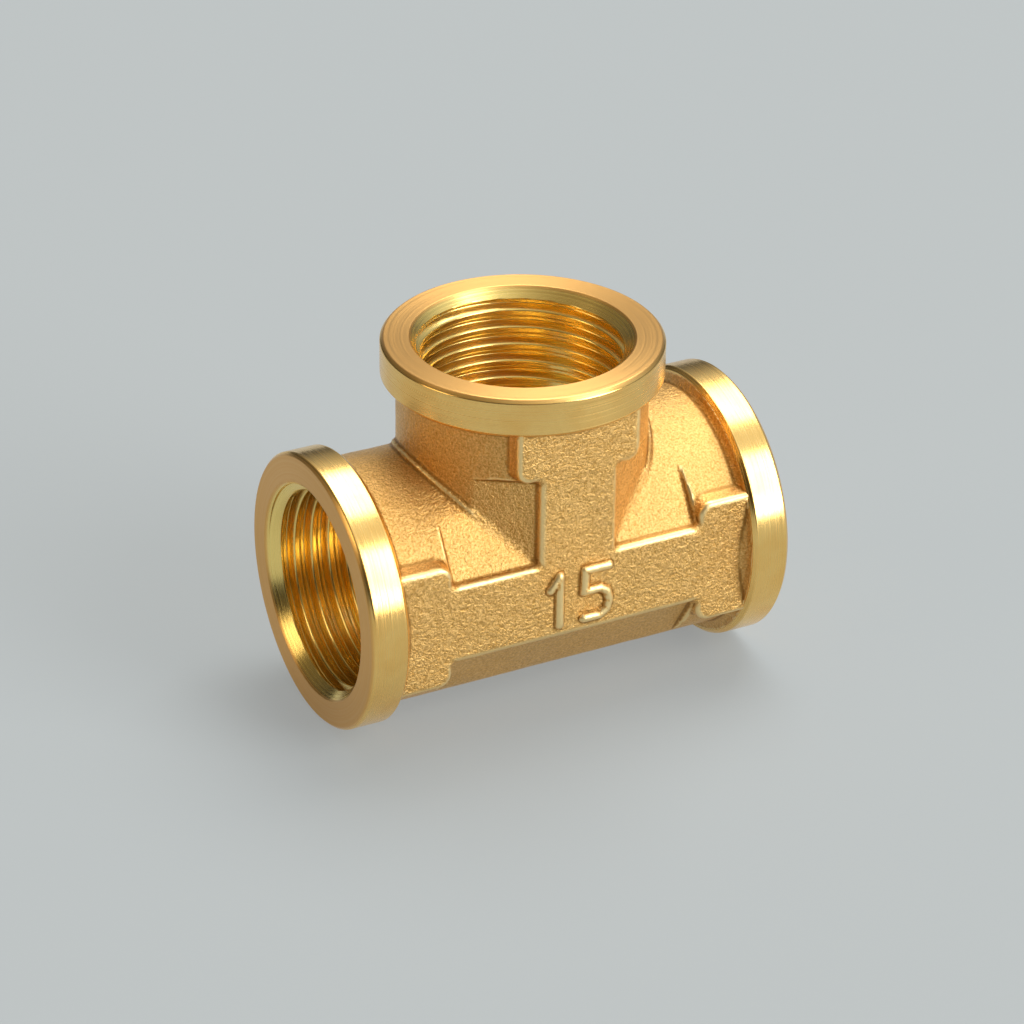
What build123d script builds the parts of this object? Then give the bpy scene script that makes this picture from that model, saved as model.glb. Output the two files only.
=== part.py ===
from build123d import *
import math
import os

# A half-inch female equal tee, hot forged in one piece from brass.
# Two run ports face -X and +X, the branch port faces +Z, and the part stands on
# the lowest points of its run collars, so the run axis is one collar radius up.
# The three arms are the same, so each feature is drawn once, along +Z from the
# crossing of the axes, and turned about Y into its places. The die line is XZ.

# Driving dimensions, in millimetres
arm_length = 22.2  # from the crossing of the axes to each port face
collar_radius = 13.5
collar_width = 3.9
collar_edge = 0.35  # edge break on the turned collars
barrel_radius = 12.0
neck_radius = 1.5  # fillet between the body and the back of a collar
neck_base = 11.6  # radius at which that fillet starts, just under the pads

# Forged pads on the front and back, and the flats beside them
pad_face = 11.75  # from the die line to the flat pads
pad_draft = 8  # degrees
bar_half = 4.0  # half width of the long pads
ear_half = 6.4  # half width of the ears beside the collars
ear_start = 13.2  # from the crossing to the ears
ear_corner = 1.2  # radius of the corners of the ears
pad_overlap = 0.5  # how far the pads run into the collars
pad_cover = 0.05  # how far the pads stand over the barrels under them
ear_rise = 0.03  # how far the round body under the ears stands over the barrels
flat_depth = 0.52  # deepest point of the forged flats below the barrels
flat_angle = 33.0  # degrees from the front to the middle of a flat

# G 1/2 parallel pipe thread, 55 degree form
pitch = 25.4 / 14
major_radius = 20.955 / 2
crest_radius = 9.58
root_flat = 0.3  # width of the groove at its bottom
flank_angle = 27.5  # degrees
thread_depth = 11.0  # from the port face to the end of the thread
cutter_overlap = 0.3  # how far the thread cutter reaches inside the crests
mouth_radius = 10.75  # large end of the mouth chamfer
crest_depth = 11.4
relief_radius = 9.65  # relief behind the thread
relief_depth = 13.2
relief_cone = 1.0  # length of the cone from the relief to the waterway
waterway_radius = 7.75

# Raised size mark on the front pad, the metric nominal size 15
mark_height = 5.2
mark_gap = 1.3
digit_width = 2.6
mark_relief = 0.4
stroke = 0.9
one_stem = 1.0  # from the left edge of the digit 1 to its stem
one_flag = 1.3  # how far its flag falls
five_waist = 0.3  # height of the top of the bowl of the digit 5
bowl_corner = 0.7

run_height = collar_radius
collar_start = arm_length - collar_width
arm_turns = (-90, 0, 90)  # about Y: run left, branch, run right
thread_starts = (108, -20, 60)  # degrees about each arm's axis, where its tap ran out
thread_turns = math.ceil(thread_depth / pitch + 0.5)


def trimmed_round(radius):
    """A round section, cut flat just inside the faces of the pads that cover it."""
    with BuildSketch() as section:
        Circle(radius)
        Rectangle(2 * radius, 2 * (pad_face - pad_cover), mode=Mode.INTERSECT)
    return section.sketch


def faceted_round():
    """The section of a barrel, with its four forged flats."""
    reach = barrel_radius - flat_depth
    side = reach / math.sin(math.radians(flat_angle))
    front = reach / math.cos(math.radians(flat_angle))
    with BuildSketch() as section:
        add(trimmed_round(barrel_radius))
        with BuildLine():
            Polyline((side, 0), (0, front), (-side, 0), (0, -front), close=True)
        make_face(mode=Mode.INTERSECT)
    return section.sketch


def turned_collar():
    """The neck fillet and the turned collar at the end of an arm."""
    neck = (neck_base, collar_start - neck_radius)
    back = (neck_base + neck_radius, collar_start)
    rim = collar_radius - collar_edge
    with BuildPart() as collar:
        with BuildSketch(Plane.XZ):
            with BuildLine():
                RadiusArc(neck, back, neck_radius)
                Polyline(
                    back,
                    (rim, collar_start),
                    (collar_radius, collar_start + collar_edge),
                    (collar_radius, arm_length - collar_edge),
                    (rim, arm_length),
                    (0, arm_length),
                    (0, neck[1]),
                    neck,
                )
            make_face()
        revolve(axis=Axis.Z)
    return collar.part


def pads():
    """The flat bars and the wider ears on the front and back, with draft."""
    growth = pad_face * math.tan(math.radians(pad_draft))
    outer = collar_start + pad_overlap
    middle_x = ear_half + growth / 2
    middle_z = ear_start - growth / 2
    with BuildPart() as front:
        with BuildSketch(Plane.XZ):
            for turn in arm_turns:
                way = Vector(0, 1).rotate(Axis.Z, -turn)
                for half, start in ((bar_half, -bar_half), (ear_half, ear_start)):
                    with Locations(way * ((outer + start) / 2)):
                        Rectangle(2 * (half + growth), outer - start + 2 * growth, rotation=-turn)
        extrude(amount=pad_face, taper=pad_draft)
        places = [
            Vector(side * middle_x, -pad_face / 2, middle_z).rotate(Axis.Y, turn)
            for side in (-1, 1)
            for turn in arm_turns
        ]
        ear_edges = front.edges().filter_by(
            lambda edge: min((edge.center() - place).length for place in places) < ear_corner / 10
        )
        fillet(ear_edges, ear_corner)
    with BuildPart() as both:
        add(front.part)
        add(front.part.mirror(Plane.XZ))
    return both.part


def port_cutter():
    """One port's bore: mouth chamfer, threaded bore, relief behind the thread and waterway."""
    chamfer_depth = mouth_radius - crest_radius
    with BuildPart() as cutter:
        with BuildSketch(Plane.XZ):
            with BuildLine():
                Polyline(
                    (0, 0),
                    (waterway_radius, 0),
                    (waterway_radius, arm_length - relief_depth - relief_cone),
                    (relief_radius, arm_length - relief_depth),
                    (relief_radius, arm_length - crest_depth),
                    (crest_radius, arm_length - crest_depth),
                    (crest_radius, arm_length - chamfer_depth),
                    (mouth_radius, arm_length),
                    (0, arm_length),
                    close=True,
                )
            make_face()
        revolve(axis=Axis.Z)
    return cutter.part


def thread_cutter():
    """One turn of the helical groove between the thread's crests, drawn along +Z."""
    start = arm_length - thread_depth
    inner = crest_radius - cutter_overlap
    half_root = root_flat / 2
    half_open = half_root + (major_radius - inner) * math.tan(math.radians(flank_angle))
    with BuildPart() as cutter:
        with BuildLine() as line:
            Helix(pitch, pitch, inner, center=(0, 0, start))
        with BuildSketch(Plane(origin=(inner, 0, start), z_dir=(0, 1, 0), x_dir=(1, 0, 0))):
            with BuildLine():
                Polyline(
                    (0, half_open),
                    (major_radius - inner, half_root),
                    (major_radius - inner, -half_root),
                    (0, -half_open),
                    close=True,
                )
            make_face()
        sweep(path=line.wires()[0], is_frenet=True)
    return cutter.part


def size_mark():
    """The raised digits 15 on the front pad, built from straight round-ended strokes."""
    top = mark_height / 2
    one_left = -digit_width - mark_gap / 2
    stem = one_left + one_stem
    left = mark_gap / 2
    right = left + digit_width
    bowl = right - bowl_corner
    points = (
        ((one_left, top - one_flag), (stem, top), (stem, -top)),
        (
            (right, top),
            (left, top),
            (left, five_waist),
            (bowl, five_waist),
            (right, five_waist - bowl_corner),
            (right, bowl_corner - top),
            (bowl, -top),
            (left, -top),
        ),
    )
    with BuildPart() as mark:
        with BuildSketch(Plane.XZ.offset(pad_face - mark_relief)):
            for digit in points:
                for a, b in zip(digit, digit[1:]):
                    middle = ((a[0] + b[0]) / 2, (a[1] + b[1]) / 2)
                    turn = math.degrees(math.atan2(b[1] - a[1], b[0] - a[0]))
                    with Locations(middle):
                        SlotOverall(math.dist(a, b) + stroke, stroke, rotation=turn)
        extrude(amount=2 * mark_relief)
    return mark.part


collar = turned_collar()
pad = pads()
port = port_cutter()
groove = thread_cutter()
mark = size_mark()

with BuildPart() as forging:
    with BuildSketch(Plane.XY.rotated((0, 90, 0))):
        add(faceted_round())
    extrude(amount=collar_start, both=True)
    with BuildSketch(Plane.XY):
        add(faceted_round())
    extrude(amount=collar_start)
    for turn in arm_turns:
        with BuildSketch(Plane.XY.rotated((0, turn, 0)).offset(ear_start)):
            add(trimmed_round(barrel_radius + ear_rise))
        extrude(amount=collar_start - ear_start)
    for turn in arm_turns:
        add(collar, rotation=(0, turn, 0), clean=False)
    add(pad, clean=False)
    add(mark, clean=False)

with BuildPart() as tee_body:
    with Locations((0, 0, run_height)):
        add(forging.part)
        for turn in arm_turns:
            add(port, rotation=(0, turn, 0), mode=Mode.SUBTRACT, clean=False)
        for turn, start in zip(arm_turns, thread_starts):
            for i in range(thread_turns):
                step = groove.rotate(Axis.Z, start).moved(Location((0, 0, i * pitch)))
                add(step, rotation=(0, turn, 0), mode=Mode.SUBTRACT, clean=False)

tee_body.part.label = "tee_body"
os.makedirs("parts", exist_ok=True)
export_step(tee_body.part, "parts/tee_body.step")
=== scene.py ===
import math

import bpy
import numpy as np
from mathutils import Matrix, Vector


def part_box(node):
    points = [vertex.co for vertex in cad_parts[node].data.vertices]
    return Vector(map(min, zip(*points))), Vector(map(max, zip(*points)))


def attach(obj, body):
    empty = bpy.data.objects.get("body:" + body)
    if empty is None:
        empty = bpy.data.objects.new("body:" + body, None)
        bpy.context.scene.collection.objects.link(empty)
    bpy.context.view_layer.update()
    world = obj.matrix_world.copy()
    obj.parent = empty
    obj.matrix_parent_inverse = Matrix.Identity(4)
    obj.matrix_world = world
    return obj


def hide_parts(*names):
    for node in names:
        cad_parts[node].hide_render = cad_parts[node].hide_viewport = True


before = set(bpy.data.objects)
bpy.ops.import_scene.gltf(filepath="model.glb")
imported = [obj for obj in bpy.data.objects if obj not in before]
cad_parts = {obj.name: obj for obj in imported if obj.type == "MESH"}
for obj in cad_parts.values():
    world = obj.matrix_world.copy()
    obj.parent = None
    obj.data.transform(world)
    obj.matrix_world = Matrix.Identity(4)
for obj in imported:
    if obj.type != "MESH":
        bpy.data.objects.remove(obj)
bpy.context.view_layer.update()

# A half-inch female equal tee: one hot forged brass body with a blasted skin, and three
# turned and threaded ports. Shapes are worked out in millimetres from the crossing of
# the axes (x along the run, y from front to back, z up the branch) and stored in metres.

MM = 0.001
low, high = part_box("tee_body")
ARM = round(high.x / MM, 1)  # from the crossing to each port face
COLLAR = round(high.y / MM, 1)  # radius of the turned collars
CROSSING = Vector((0, 0, COLLAR * MM))
TURNS = (-90, 0, 90)  # of each arm about y: run left, branch, run right

# Forged skin
BARREL = 12.0
COLLAR_BACK = ARM - 3.9
NECK = 1.5  # radius of the fillet behind a collar
DISC = COLLAR - 0.4  # radius of the forging inside a collar
DISC_END = COLLAR_BACK + 1.2
PAD = 11.75  # from the die line to the flat pads
PAD_TRIM = 11.31  # where the round barrels stop under the pads
DRAFT = math.radians(8)
BAR = 4.0  # half width of the long pads
EAR = 6.4  # half width of the ears beside the collars
EAR_START = 13.2
EAR_CORNER = 1.3
FLAT = 11.48  # from the axis to the forged flats
FLAT_ANGLE = math.radians(33)
BEAD = 0.2  # height of the line left along the valleys beside the branch
BEAD_WIDTH = 0.28
STROKE = 0.47  # half width of the strokes, which stand up as half rounds
CELL = 0.23  # of the grid that the skin is meshed on

# Ports
PITCH = 25.4 / 14
MAJOR = 20.955 / 2
CREST = 9.58
ROOT_FLAT = 0.15
FLANK = math.tan(math.radians(27.5))
MOUTH = 10.75
THREAD_END = ARM - 11.0
CREST_END = ARM - 11.4
RELIEF = 9.65  # bore behind the thread
RELIEF_END = ARM - 13.2
WATERWAY = 7.75
WATERWAY_END = RELIEF_END - 1.0
POCKET = 10.95  # hole in the forged piece that a port sits in
EDGE = 0.35  # edge break on the collars
COLUMNS = 256  # of the mesh around a port
THREAD_ROWS = 240
THREAD_STARTS = (108, -20, 60)  # degrees about each arm's axis


# ---------------------------------------------------------------- shape tools


def smooth_min(a, b, k):
    """The smaller of two distances, with the corner between them filled over k."""
    h = np.clip(0.5 + 0.5 * (b - a) / k, 0, 1)
    return b + (a - b) * h - k * h * (1 - h)


def smooth_max(a, b, k):
    """The larger of two distances, with the edge between them rounded over k."""
    return -smooth_min(-a, -b, k)


def smooth_step(x, start, end):
    t = np.clip((x - start) / (end - start), 0, 1)
    return t * t * (3 - 2 * t)


def rectangle(x, z, x0, x1, z0, z1, corner=0.0):
    """Distance to a rectangle with rounded corners, in the plane."""
    qx = np.abs(x - (x0 + x1) / 2) - (x1 - x0) / 2 + corner
    qz = np.abs(z - (z0 + z1) / 2) - (z1 - z0) / 2 + corner
    outside = np.hypot(np.maximum(qx, 0), np.maximum(qz, 0))
    return outside + np.minimum(np.maximum(qx, qz), 0) - corner


def lattice(x, y, z, seed):
    """A repeatable random number from 0 to 1 for each whole-number point."""
    n = x * 374761393 + y * 668265263 + z * 1440662683 + seed * 2246822519
    n = (n ^ (n >> 13)) * 1274126177
    n = n ^ (n >> 16)
    return (n & 0xFFFF) / 65535.0


def noise(p, size, seed):
    """Smooth random values from -1 to 1 with bumps of about the given size."""
    q = p / size
    base = np.floor(q)
    f = q - base
    f = f * f * (3 - 2 * f)
    i = base.astype(np.int64)
    total = 0
    for dx in (0, 1):
        wx = f[..., 0] if dx else 1 - f[..., 0]
        for dy in (0, 1):
            wy = f[..., 1] if dy else 1 - f[..., 1]
            for dz in (0, 1):
                wz = f[..., 2] if dz else 1 - f[..., 2]
                corner = lattice(i[..., 0] + dx, i[..., 1] + dy, i[..., 2] + dz, seed)
                total = total + wx * wy * wz * corner
    return 2 * total - 1


# ---------------------------------------------------------------- forged skin


def barrel(along, side, y):
    """A round barrel with its four forged flats, which stop at the ears."""
    round_part = np.hypot(side, y) - BARREL
    lift = 0.7 * smooth_step(along, EAR_START - 0.5, EAR_START + 0.1)
    flat = math.cos(FLAT_ANGLE) * np.abs(y) + math.sin(FLAT_ANGLE) * np.abs(side) - FLAT - lift
    return smooth_max(round_part, flat, 0.12)


def neck_and_collar(along, side, y):
    """The round fillet behind a collar, and the stub of forging inside the collar."""
    reach = np.hypot(side, y)
    centre = (BARREL - 0.4 + NECK, COLLAR_BACK - NECK)
    arc = NECK - np.hypot(reach - centre[0], along - centre[1])
    fillet = np.maximum(np.maximum(arc, centre[1] - along), reach - centre[0])
    disc = np.maximum(reach - DISC, COLLAR_BACK - along)
    return np.maximum(np.minimum(fillet, disc), along - DISC_END)


def pad_outline(x, z):
    """The flat bars along each arm and the wider ears beside each collar."""
    end = COLLAR_BACK + 0.6
    run = rectangle(np.abs(x), z, -end, end, -BAR, BAR)
    branch = rectangle(x, z, -BAR, BAR, -1.5, end)
    bars = smooth_min(run, branch, 0.5)
    run_ears = rectangle(np.abs(x), z, EAR_START, end + 3, -EAR, EAR, EAR_CORNER)
    branch_ears = rectangle(x, z, -EAR, EAR, EAR_START, end + 3, EAR_CORNER)
    return smooth_min(bars, np.minimum(run_ears, branch_ears), 0.7)


# Corners (x, z) of the strokes of the raised digits 1 and 5
DIGITS = (
    ((-2.95, 1.3), (-1.95, 2.6), (-1.95, -2.6)),
    (
        (3.25, 2.6),
        (0.75, 2.6),
        (0.65, 0.3),
        (2.35, 0.35),
        (3.1, -0.15),
        (3.35, -1.1),
        (3.1, -2.05),
        (2.35, -2.6),
        (0.65, -2.6),
    ),
)


def size_mark(x, z):
    """Distance in the plane to the strokes of the raised digits 15."""
    best = np.full(x.shape, 1e3)
    for digit in DIGITS:
        for (ax, az), (bx, bz) in zip(digit, digit[1:]):
            dx, dz = bx - ax, bz - az
            t = np.clip(((x - ax) * dx + (z - az) * dz) / (dx * dx + dz * dz), 0, 1)
            best = np.minimum(best, np.hypot(x - ax - t * dx, z - az - t * dz))
    return best


def forging(p):
    """Signed distance to the forged body, solid inside."""
    x, y, z = p[..., 0], p[..., 1], p[..., 2]
    ax = np.abs(x)
    deep = np.abs(y)
    run = np.maximum(barrel(ax, z, y), ax - DISC_END)
    branch = np.maximum(np.maximum(barrel(z, x, y), z - DISC_END), -z)
    level = y * y / np.maximum(np.hypot(y, z) * np.hypot(x, y), 1e-6)
    body = smooth_min(run, branch, 0.02 + 0.9 * (1 - level))
    body = body - BEAD * (1 - level) * np.exp(-(((run - branch) / BEAD_WIDTH) ** 2))
    body = smooth_max(body, deep - PAD_TRIM, 0.03)
    wall = (pad_outline(x, z) - (PAD - deep) * math.tan(DRAFT)) * math.cos(DRAFT)
    pads = smooth_max(wall, deep - PAD, 0.45)
    pads = np.maximum(pads, np.maximum(ax, z) - DISC_END)
    body = smooth_min(body, pads, 0.18)
    body = smooth_min(body, neck_and_collar(ax, z, y), 0.12)
    body = smooth_min(body, neck_and_collar(z, x, y), 0.12)
    mark = np.hypot(size_mark(x, z), y + PAD) - STROKE
    return smooth_min(body, mark, 0.12)


def uneven(p):
    """The slight waviness of a forged and blasted skin, in millimetres."""
    return 0.022 * noise(p, 2.6, 1) + 0.012 * noise(p, 0.95, 2) + 0.006 * noise(p, 0.5, 3)


def surface_net(shape, lowest, highest, cell):
    """A closed mesh of quads on the zero level of a signed distance."""
    axes = [np.arange(a, b + cell, cell) for a, b in zip(lowest, highest)]
    grid = np.stack(np.meshgrid(*axes, indexing="ij"), axis=-1)
    values = np.concatenate([shape(part) for part in np.array_split(grid, 12)])
    inside = values < 0
    nx, ny, nz = (size - 1 for size in inside.shape)
    count = sum(
        inside[i : i + nx, j : j + ny, k : k + nz].astype(np.int8)
        for i in (0, 1)
        for j in (0, 1)
        for k in (0, 1)
    )
    cells = np.argwhere((count > 0) & (count < 8))
    number = np.full(count.shape, -1, np.int64)
    number[tuple(cells.T)] = np.arange(len(cells))
    total = np.zeros((len(cells), 3))
    hits = np.zeros(len(cells))
    for axis in range(3):
        step = np.eye(3, dtype=int)[axis]
        others = [np.eye(3, dtype=int)[a] for a in range(3) if a != axis]
        for i in (0, 1):
            for j in (0, 1):
                a = cells + i * others[0] + j * others[1]
                b = a + step
                va, vb = values[tuple(a.T)], values[tuple(b.T)]
                cut = (va < 0) != (vb < 0)
                t = np.where(cut, va / np.where(cut, va - vb, 1), 0)
                total += np.where(cut[:, None], a + t[:, None] * step, 0)
                hits += cut
    points = np.array(lowest) + cell * total / hits[:, None]
    quads = []
    for axis in range(3):
        u, v = (axis + 1) % 3, (axis + 2) % 3
        here = [slice(1, -1)] * 3
        here[axis] = slice(0, -1)
        there = list(here)
        there[axis] = slice(1, None)
        first, second = inside[tuple(here)], inside[tuple(there)]
        at = np.argwhere(first != second)
        out = first[tuple(at.T)]
        shift = np.ones(3, int)
        shift[axis] = 0
        at = at + shift
        du, dv = np.eye(3, dtype=int)[u], np.eye(3, dtype=int)[v]
        ring = [at - du - dv, at - dv, at, at - du]
        faces = np.stack([number[tuple(r.T)] for r in ring], axis=1)
        faces[~out] = faces[~out][:, ::-1]
        quads.append(faces)
    return points, np.concatenate(quads)


def gradient(shape, p, h=0.01):
    """Direction in which a distance grows fastest."""
    return np.stack([shape(p + h * e) - shape(p - h * e) for e in np.eye(3)], axis=-1) / (2 * h)


def settle(shape, points, most):
    """Moves the points of a mesh onto the exact surface."""
    for _ in range(3):
        g = gradient(shape, points)
        step = shape(points)[:, None] * g / np.maximum((g * g).sum(-1, keepdims=True), 1e-4)
        length = np.maximum(np.linalg.norm(step, axis=-1, keepdims=True), 1e-9)
        points = points - step * np.minimum(1, most / length)
    return points


def new_mesh(name, points, faces):
    """A smooth-shaded object from points in millimetres."""
    mesh = bpy.data.meshes.new(name)
    mesh.from_pydata((np.asarray(points) * MM).tolist(), [], [list(map(int, f)) for f in faces])
    mesh.validate()
    piece = bpy.data.objects.new(name, mesh)
    bpy.context.scene.collection.objects.link(piece)
    mesh.polygons.foreach_set("use_smooth", np.ones(len(mesh.polygons), bool))
    mesh.update()
    return piece


def lathe(rows, columns):
    """A closed ring of quads from rows of points (radius per column, height)."""
    angles = 2 * math.pi * np.arange(columns) / columns
    count = len(rows)
    points = np.empty((count, columns, 3))
    for i, (radius, height) in enumerate(rows):
        points[i, :, 0] = radius * np.cos(angles)
        points[i, :, 1] = radius * np.sin(angles)
        points[i, :, 2] = height
    i, j = np.meshgrid(np.arange(count), np.arange(columns), indexing="ij")
    i2, j2 = (i + 1) % count, (j + 1) % columns
    faces = np.stack([i * columns + j, i * columns + j2, i2 * columns + j2, i2 * columns + j], -1)
    return points.reshape(-1, 3), faces.reshape(-1, 4)


def solid_of_turning(name, profile, columns=128):
    """A closed solid from a profile that starts and ends on the axis."""
    rings, heights = profile[1:-1], (profile[0][1], profile[-1][1])
    angles = 2 * math.pi * np.arange(columns) / columns
    points = [(r * math.cos(a), r * math.sin(a), h) for r, h in rings for a in angles]
    faces = []
    for i in range(len(rings) - 1):
        for j in range(columns):
            k = (j + 1) % columns
            a, b = i * columns, (i + 1) * columns
            faces.append((a + j, a + k, b + k, b + j))
    start, end = len(points), len(points) + 1
    points += [(0, 0, heights[0]), (0, 0, heights[1])]
    last = (len(rings) - 1) * columns
    for j in range(columns):
        k = (j + 1) % columns
        faces.append((start, k, j))
        faces.append((end, last + j, last + k))
    return new_mesh(name, points, faces)


def apply_modifiers(piece):
    """Keeps the piece's finished mesh and drops its modifiers."""
    dg = bpy.context.evaluated_depsgraph_get()
    mesh = bpy.data.meshes.new_from_object(piece.evaluated_get(dg))
    piece.modifiers.clear()
    piece.data = mesh


def mark_edges(piece, h=0.15):
    """Stores how sharply the skin bends: above 0 on ridges, below 0 in corners."""
    mesh = piece.data
    p = np.empty(3 * len(mesh.vertices))
    mesh.vertices.foreach_get("co", p)
    p = p.reshape(-1, 3) / MM
    bend = sum(forging(p + h * e) + forging(p - h * e) for e in np.eye(3)) - 6 * forging(p)
    bend = bend / (h * h)
    edge = smooth_step(bend, 0.7, 2.4) - smooth_step(-bend, 0.7, 2.4)
    layer = mesh.attributes.new("edge", "FLOAT", "POINT")
    layer.data.foreach_set("value", edge.astype(np.float32))


def hollow(piece, profile, turn):
    """Cuts a turned hole along one of the arms."""
    cutter = solid_of_turning("cutter", profile)
    cutter.data.transform(Matrix.Rotation(math.radians(turn), 4, "Y"))
    cut = piece.modifiers.new("cut", "BOOLEAN")
    cut.operation = "DIFFERENCE"
    cut.solver = "MANIFOLD"
    cut.object = cutter
    apply_modifiers(piece)
    bpy.data.objects.remove(cutter)


def forged_body():
    """The forged skin, cut out for the ports and bored for the waterways."""
    reach = (DISC_END + 1, PAD + 2.2, DISC + 1)
    lowest = (-reach[0], -reach[2], -reach[2])
    highest = (reach[0], reach[2], reach[0])
    points, faces = surface_net(forging, lowest, highest, CELL)
    points = settle(forging, points, 0.08)
    normal = gradient(forging, points)
    normal /= np.maximum(np.linalg.norm(normal, axis=-1, keepdims=True), 1e-6)
    points = points + normal * uneven(points)[:, None]
    piece = new_mesh("forged_body", points, faces)
    run = [
        (0, -ARM),
        (POCKET, -ARM),
        (POCKET, -WATERWAY_END),
        (WATERWAY, -WATERWAY_END),
        (WATERWAY, WATERWAY_END),
        (POCKET, WATERWAY_END),
        (POCKET, ARM),
        (0, ARM),
    ]
    branch = [(0, 0), (WATERWAY, 0)] + run[4:]
    hollow(piece, run, 90)
    hollow(piece, branch, 0)
    piece.data.polygons.foreach_set("use_smooth", np.ones(len(piece.data.polygons), bool))
    piece.data.set_sharp_from_angle(angle=math.radians(38))
    mark_edges(piece)
    return piece


# ---------------------------------------------------------------- turned ports


def rounded(corners):
    """The points of a closed profile whose corners (radius, height, rounding) are rounded."""
    points = []
    count = len(corners)
    for i, (r, h, rounding) in enumerate(corners):
        here = np.array((r, h))
        before = np.array(corners[i - 1][:2]) - here
        after = np.array(corners[(i + 1) % count][:2]) - here
        a, b = before / np.linalg.norm(before), after / np.linalg.norm(after)
        if rounding == 0:
            points.append(here)
            continue
        half = math.acos(np.clip(a @ b, -1, 1)) / 2
        back = rounding / math.tan(half)
        centre = here + (a + b) / np.linalg.norm(a + b) * rounding / math.sin(half)
        first, last = here + a * back, here + b * back
        points.append(first + a * 0.03)
        start, end = first - centre, last - centre
        sweep = math.atan2(start[0] * end[1] - start[1] * end[0], start @ end)
        for t in np.linspace(0, 1, 7):
            c, s = math.cos(sweep * t), math.sin(sweep * t)
            spoke = (c * start[0] - s * start[1], s * start[0] + c * start[1])
            points.append(centre + np.array(spoke))
        points.append(last + b * 0.03)
    return points


def bore(height, angles, start):
    """Radius of the threaded bore at a height, for each angle about the arm."""
    turns = (height - THREAD_END) / PITCH - (angles - math.radians(start)) / (2 * math.pi)
    off = np.abs(turns - np.round(turns)) * PITCH
    centre = height - (turns - np.round(turns)) * PITCH
    fade = smooth_step(centre, THREAD_END - 0.4, THREAD_END + 1.6)
    groove = MAJOR - np.maximum(off - ROOT_FLAT, 0) / FLANK - (1 - fade) * (MAJOR - CREST)
    thread = smooth_max(groove, np.full(angles.shape, CREST), 0.2)
    thread = smooth_min(thread, np.full(angles.shape, MAJOR), 0.25)
    cone = MOUTH - (ARM - height)
    return np.maximum(thread, cone) if height > CREST_END else np.full(angles.shape, CREST)


def turned_port(name, turn, start):
    """The turned collar, face, chamfer and threaded bore at the end of an arm."""
    rim = COLLAR - EDGE
    back = COLLAR_BACK + 0.03
    outer = [
        (WATERWAY - 0.04, WATERWAY_END - 0.1, 0),
        (POCKET - 0.04, WATERWAY_END - 0.1, 0),
        (POCKET - 0.04, back, 0),
        (rim, back, 0.05),
        (COLLAR, back + EDGE, 0.2),
        (COLLAR, ARM - EDGE, 0.22),
        (rim, ARM, 0.2),
        (MOUTH, ARM, 0.12),
        (MOUTH - 1.0, ARM - 1.0, 0),
    ]
    inner = [
        (CREST, CREST_END, 0),
        (RELIEF, CREST_END - 0.05, 0),
        (RELIEF, RELIEF_END, 0.1),
        (WATERWAY - 0.04, WATERWAY_END, 0.1),
    ]
    loop = rounded(outer + inner)
    split = max(i for i, q in enumerate(loop) if q[1] > ARM - 1.01 and q[0] < MOUTH)
    angles = 2 * math.pi * np.arange(COLUMNS) / COLUMNS
    rows = [(np.full(COLUMNS, q[0]), q[1]) for q in loop[:split]]
    top = loop[split - 1][1]
    for height in np.linspace(top, CREST_END, THREAD_ROWS)[1:]:
        rows.append((bore(height, angles, start), height))
    rows += [(np.full(COLUMNS, q[0]), q[1]) for q in loop[split + 2 :]]
    points, faces = lathe(rows, COLUMNS)
    piece = new_mesh(name, points, faces)
    piece.data.set_sharp_from_angle(angle=math.radians(50))
    piece.matrix_world = Matrix.Translation(CROSSING) @ Matrix.Rotation(math.radians(turn), 4, "Y")
    return piece


# ---------------------------------------------------------------- finishes


class Nodes:
    """Short ways to add and join shader nodes."""

    def __init__(self, name):
        self.material = bpy.data.materials.new(name)
        self.material.use_nodes = True
        self.tree = self.material.node_tree
        self.shader = self.tree.nodes["Principled BSDF"]

    def add(self, kind, **values):
        node = self.tree.nodes.new(kind)
        for key, value in values.items():
            if hasattr(node, key):
                setattr(node, key, value)
            else:
                node.inputs[key.replace("_", " ")].default_value = value
        return node

    def join(self, a, b):
        self.tree.links.new(a, b)

    def ramp(self, source, start, end, low_value, high_value):
        node = self.add("ShaderNodeMapRange")
        node.inputs["From Min"].default_value = start
        node.inputs["From Max"].default_value = end
        node.inputs["To Min"].default_value = low_value
        node.inputs["To Max"].default_value = high_value
        self.join(source, node.inputs["Value"])
        return node.outputs["Result"]

    def times(self, a, b):
        node = self.add("ShaderNodeMath", operation="MULTIPLY")
        self.join(a, node.inputs[0])
        self.join(b, node.inputs[1])
        return node.outputs["Value"]

    def mix(self, factor, a, b):
        """A mix of two fixed colours."""
        node = self.tree.nodes.new("ShaderNodeMixRGB")
        node.inputs["Color1"].default_value = a
        node.inputs["Color2"].default_value = b
        self.join(factor, node.inputs["Fac"])
        return node.outputs["Color"]

    def blend(self, factor, colour, b):
        """A colour that turns into a fixed one."""
        out = self.mix(factor, b, b)
        self.join(colour, out.node.inputs["Color1"])
        return out


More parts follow.
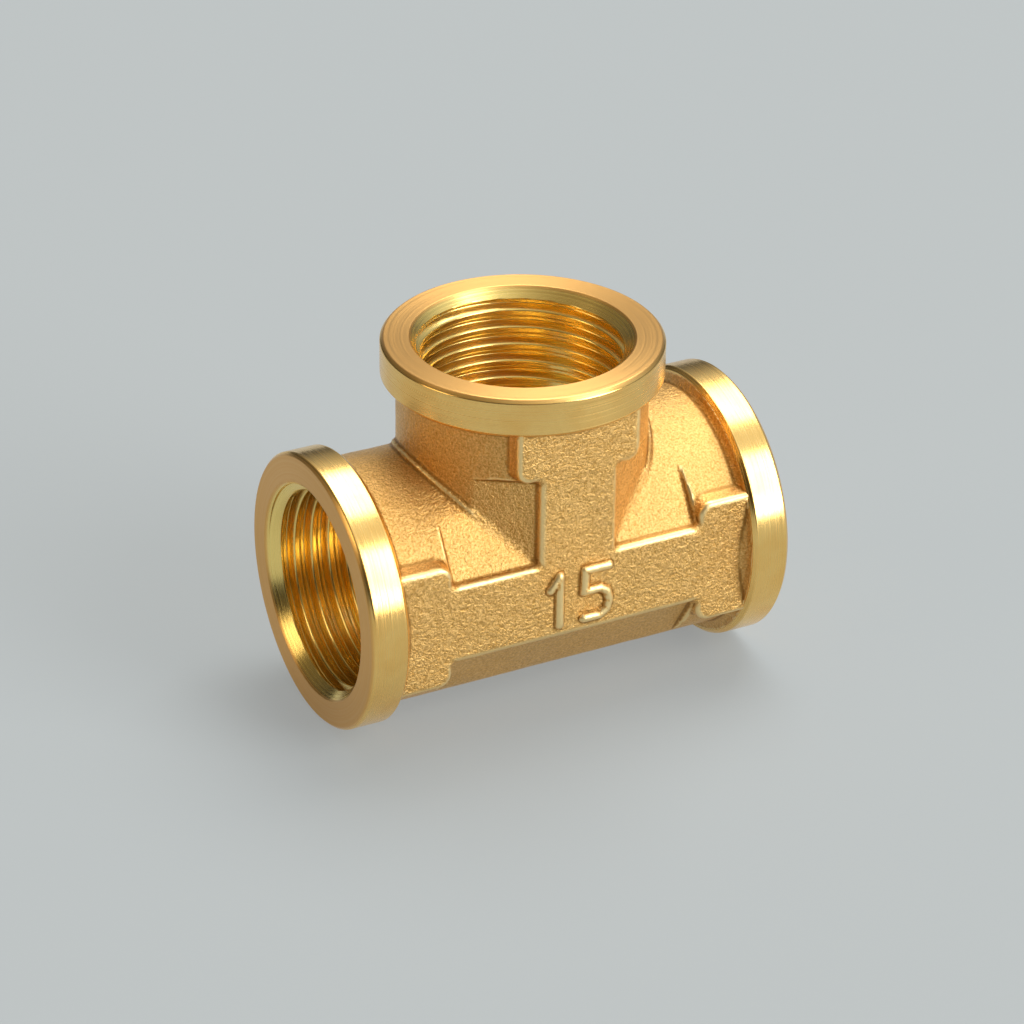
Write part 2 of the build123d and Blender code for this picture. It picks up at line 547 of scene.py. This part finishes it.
def forged_brass():
    """Blasted forged brass: a fine bright grain, worn on the edges, with painted shade darkening
    the corners.
    """
    n = Nodes("forged_brass")
    where = n.add("ShaderNodeTexCoord").outputs["Object"]
    edge = n.add("ShaderNodeAttribute", attribute_name="edge").outputs["Fac"]
    worn = n.ramp(edge, 0.1, 0.9, 0, 1)
    # Painted shade: a mask that is high in concave corners and creases, where shade falls
    painted_corner_shade = n.ramp(edge, -0.1, -0.9, 0, 1)
    grain = n.add("ShaderNodeTexNoise", Scale=4800.0, Detail=4.0, Roughness=0.62)
    coarse = n.add("ShaderNodeTexNoise", Scale=2000.0, Detail=2.0, Roughness=0.5)
    broad = n.add("ShaderNodeTexNoise", Scale=110.0, Detail=2.0, Roughness=0.5)
    for node in (grain, coarse, broad):
        n.join(where, node.inputs["Vector"])
    speck = n.ramp(grain.outputs["Fac"], 0.32, 0.68, 0, 1)
    tint = n.mix(speck, (0.60, 0.31, 0.07, 1), (1.0, 0.64, 0.235, 1))
    tint = n.blend(worn, tint, (1.0, 0.74, 0.34, 1))
    # Painted shade in the corners: a dark brown colour blended in where the skin bends inward
    tint = n.blend(painted_corner_shade, tint, (0.42, 0.21, 0.05, 1))
    n.join(tint, n.shader.inputs["Base Color"])
    skin = n.ramp(broad.outputs["Fac"], 0.3, 0.7, 0.3, 0.42)
    n.join(skin, n.shader.inputs["Roughness"])
    n.shader.inputs["Metallic"].default_value = 1
    away = n.add("ShaderNodeVectorMath", operation="DISTANCE")
    n.join(where, away.inputs[0])
    away.inputs[1].default_value = CROSSING
    cast = n.ramp(away.outputs["Value"], 11.0 * MM, 11.3 * MM, 0.06, 1)
    depth = n.times(n.ramp(worn, 0, 1, 1, 0.3), cast)
    bump = n.add("ShaderNodeBump", Distance=0.00013)
    deep = n.add("ShaderNodeBump", Distance=0.00012)
    n.join(depth, bump.inputs["Strength"])
    n.join(depth, deep.inputs["Strength"])
    n.join(grain.outputs["Fac"], bump.inputs["Height"])
    n.join(coarse.outputs["Fac"], deep.inputs["Height"])
    n.join(deep.outputs["Normal"], bump.inputs["Normal"])
    n.join(bump.outputs["Normal"], n.shader.inputs["Normal"])
    return n.material


def turned_brass():
    """Turned brass: bright, with fine lines around each arm's axis, and painted light inside the
    threaded bore.
    """
    n = Nodes("turned_brass")
    where = n.add("ShaderNodeTexCoord").outputs["Object"]
    parts = n.add("ShaderNodeSeparateXYZ")
    n.join(where, parts.inputs["Vector"])
    flat = n.add("ShaderNodeCombineXYZ")
    n.join(parts.outputs["X"], flat.inputs["X"])
    n.join(parts.outputs["Y"], flat.inputs["Y"])
    radius = n.add("ShaderNodeVectorMath", operation="LENGTH")
    n.join(flat.outputs["Vector"], radius.inputs[0])
    along = n.add("ShaderNodeMath", operation="ADD")
    n.join(radius.outputs["Value"], along.inputs[0])
    n.join(parts.outputs["Z"], along.inputs[1])
    lines = n.add("ShaderNodeTexNoise", Scale=3800.0, Detail=3.0, Roughness=0.7)
    lines.noise_dimensions = "1D"
    n.join(along.outputs["Value"], lines.inputs["W"])
    blotch = n.add("ShaderNodeTexNoise", Scale=260.0, Detail=3.0, Roughness=0.55)
    n.join(where, blotch.inputs["Vector"])
    patches = n.ramp(blotch.outputs["Fac"], 0.35, 0.65, 0, 1)
    tint = n.mix(patches, (0.96, 0.58, 0.17, 1), (1.0, 0.66, 0.22, 1))
    reach = radius.outputs["Value"]
    # Painted light: inside the mouth radius the colour turns lighter and yellower, standing in for
    # light falling into the bore
    inside = n.ramp(reach, (MOUTH + 0.05) * MM, (MOUTH - 0.35) * MM, 0, 1)
    tint = n.blend(inside, tint, (1.0, 0.74, 0.24, 1))
    face = n.ramp(parts.outputs["Z"], (ARM - 0.25) * MM, (ARM - 0.05) * MM, 0, 1)
    tint = n.blend(face, tint, (0.80, 0.45, 0.14, 1))
    n.join(tint, n.shader.inputs["Base Color"])
    rough = n.ramp(lines.outputs["Fac"], 0.3, 0.7, 0.17, 0.31)
    rougher = n.add("ShaderNodeMath", operation="ADD")
    n.join(rough, rougher.inputs[0])
    n.join(n.ramp(face, 0, 1, 0, 0.16), rougher.inputs[1])
    n.join(rougher.outputs["Value"], n.shader.inputs["Roughness"])
    around = n.add("ShaderNodeTangent", direction_type="RADIAL", axis="Z")
    n.join(around.outputs["Tangent"], n.shader.inputs["Tangent"])
    n.shader.inputs["Anisotropic"].default_value = 0.55
    n.shader.inputs["Anisotropic Rotation"].default_value = 0.25
    n.shader.inputs["Metallic"].default_value = 1
    bump = n.add("ShaderNodeBump", Strength=0.5, Distance=0.00002)
    n.join(lines.outputs["Fac"], bump.inputs["Height"])
    n.join(bump.outputs["Normal"], n.shader.inputs["Normal"])
    return n.material


# ---------------------------------------------------------------- the piece

forged = forged_brass()
turned = turned_brass()
body = forged_body()
body.data.transform(Matrix.Translation(CROSSING))
body.data.materials.clear()
body.data.materials.append(forged)
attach(body, "root")
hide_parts("tee_body")
for name, turn, start in zip(("port_left", "port_branch", "port_right"), TURNS, THREAD_STARTS):
    port = turned_port(name, turn, start)
    port.data.materials.append(turned)
    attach(port, "root")
    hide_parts("tee_body")


# ---------------------------------------------------------------- the studio


def light_table():
    """Pale paper, lit a little from below, which keeps the shadows soft."""
    material = bpy.data.materials.new("light_table")
    material.use_nodes = True
    shader = material.node_tree.nodes["Principled BSDF"]
    shader.inputs["Base Color"].default_value = (0.185, 0.200, 0.203, 1)
    shader.inputs["Roughness"].default_value = 1.0
    shader.inputs["Specular IOR Level"].default_value = 0.0
    shader.inputs["Emission Color"].default_value = (0.95, 1.0, 1.01, 1)
    shader.inputs["Emission Strength"].default_value = 0.28
    return material


floor_mesh = bpy.data.meshes.new("floor")
SPAN = 3.0
corners = [(-SPAN, -SPAN, 0), (SPAN, -SPAN, 0), (SPAN, SPAN, 0), (-SPAN, SPAN, 0)]
floor_mesh.from_pydata(corners, [], [(0, 1, 2, 3)])
floor = bpy.data.objects.new("floor", floor_mesh)
bpy.context.scene.collection.objects.link(floor)
floor_mesh.materials.append(light_table())


def softbox(name, azimuth, elevation, distance, width, height, power, colour=(1, 1, 1)):
    """A soft rectangular light that faces the part."""
    light = bpy.data.lights.new(name, "AREA")
    light.shape = "RECTANGLE"
    light.size, light.size_y = width, height
    light.energy = power
    light.color = colour
    lamp = bpy.data.objects.new(name, light)
    a, e = math.radians(azimuth), math.radians(elevation)
    way = Vector((math.sin(a) * math.cos(e), -math.cos(a) * math.cos(e), math.sin(e)))
    lamp.location = CROSSING + way * distance
    lamp.rotation_mode = "QUATERNION"
    lamp.rotation_quaternion = way.to_track_quat("Z", "Y")
    bpy.context.scene.collection.objects.link(lamp)
    return lamp


softbox("main", 33, 28, 2.0, 1.0, 1.55, 26)
softbox("top", 130, 64, 2.0, 1.4, 1.4, 30)
softbox("left", -98, 22, 2.0, 0.9, 0.7, 5, (1.0, 0.84, 0.6))
softbox("low", 36, 9, 2.0, 1.0, 0.45, 10)


def studio_walls():
    """A room that is light above and to the right, and dark and warm to the left.

    The camera sees pale paper behind the part instead.
    """
    world = bpy.data.worlds.new("studio")
    world.use_nodes = True
    tree = world.node_tree
    where = tree.nodes.new("ShaderNodeTexCoord")
    parts = tree.nodes.new("ShaderNodeSeparateXYZ")
    tree.links.new(where.outputs["Generated"], parts.inputs["Vector"])
    across = tree.nodes.new("ShaderNodeMapRange")
    across.interpolation_type = "SMOOTHSTEP"
    across.inputs["From Min"].default_value = -0.7
    across.inputs["From Max"].default_value = 0.5
    across.inputs["To Min"].default_value = 0.10
    across.inputs["To Max"].default_value = 0.42
    tree.links.new(parts.outputs["X"], across.inputs["Value"])
    rise = tree.nodes.new("ShaderNodeMapRange")
    rise.interpolation_type = "SMOOTHSTEP"
    rise.inputs["From Min"].default_value = 0.0
    rise.inputs["From Max"].default_value = 1.0
    rise.inputs["To Min"].default_value = 0.15
    rise.inputs["To Max"].default_value = 2.4
    tree.links.new(parts.outputs["Z"], rise.inputs["Value"])
    strength = tree.nodes.new("ShaderNodeMath")
    strength.operation = "MULTIPLY"
    tree.links.new(across.outputs["Result"], strength.inputs[0])
    tree.links.new(rise.outputs["Result"], strength.inputs[1])
    sky = tree.nodes["Background"]
    warm = tree.nodes.new("ShaderNodeMapRange")
    warm.data_type = "FLOAT_VECTOR"
    # Sockets 7 to 10 are the vector forms of From Min, From Max, To Min and To Max
    warm.inputs[7].default_value = (-0.7,) * 3
    warm.inputs[8].default_value = (0.2,) * 3
    warm.inputs[9].default_value = (1.0, 0.80, 0.50)
    warm.inputs[10].default_value = (0.95, 0.985, 1.0)
    spread = tree.nodes.new("ShaderNodeCombineXYZ")
    for axis in "XYZ":
        tree.links.new(parts.outputs["X"], spread.inputs[axis])
    tree.links.new(spread.outputs["Vector"], warm.inputs["Vector"])
    tree.links.new(warm.outputs["Vector"], sky.inputs["Color"])
    tree.links.new(strength.outputs["Value"], sky.inputs["Strength"])
    paper = tree.nodes.new("ShaderNodeBackground")
    paper.inputs["Color"].default_value = (0.53, 0.565, 0.575, 1)
    seen = tree.nodes.new("ShaderNodeMixShader")
    path = tree.nodes.new("ShaderNodeLightPath")
    tree.links.new(path.outputs["Is Camera Ray"], seen.inputs["Fac"])
    tree.links.new(sky.outputs["Background"], seen.inputs[1])
    tree.links.new(paper.outputs["Background"], seen.inputs[2])
    tree.links.new(seen.outputs["Shader"], tree.nodes["World Output"].inputs["Surface"])
    return world


bpy.context.scene.world = studio_walls()
bpy.context.scene.view_settings.view_transform = "Standard"

# ---------------------------------------------------------------- the camera

AZIMUTH = math.radians(-27.71)
ELEVATION = math.radians(29.04)
ROLL = math.radians(0.705)
OFFSET = Vector((0.785, 2.771, 406.67)) * MM
LENS = 148.0

back = Vector(
    (
        math.sin(AZIMUTH) * math.cos(ELEVATION),
        -math.cos(AZIMUTH) * math.cos(ELEVATION),
        math.sin(ELEVATION),
    )
)
right = (-back).cross(Vector((0, 0, 1))).normalized()
up = right.cross(-back)
right, up = (
    math.cos(ROLL) * right + math.sin(ROLL) * up,
    -math.sin(ROLL) * right + math.cos(ROLL) * up,
)
camera = bpy.data.objects.new("camera", bpy.data.cameras.new("camera"))
camera.data.lens = LENS
camera.data.sensor_width = 36
camera.data.clip_start = 0.01
camera.data.clip_end = 10
place = CROSSING - right * OFFSET.x + up * OFFSET.y + back * OFFSET.z
camera.matrix_world = Matrix(
    (
        (right.x, up.x, back.x, place.x),
        (right.y, up.y, back.y, place.y),
        (right.z, up.z, back.z, place.z),
        (0, 0, 0, 1),
    )
)
bpy.context.scene.collection.objects.link(camera)
bpy.context.scene.camera = camera
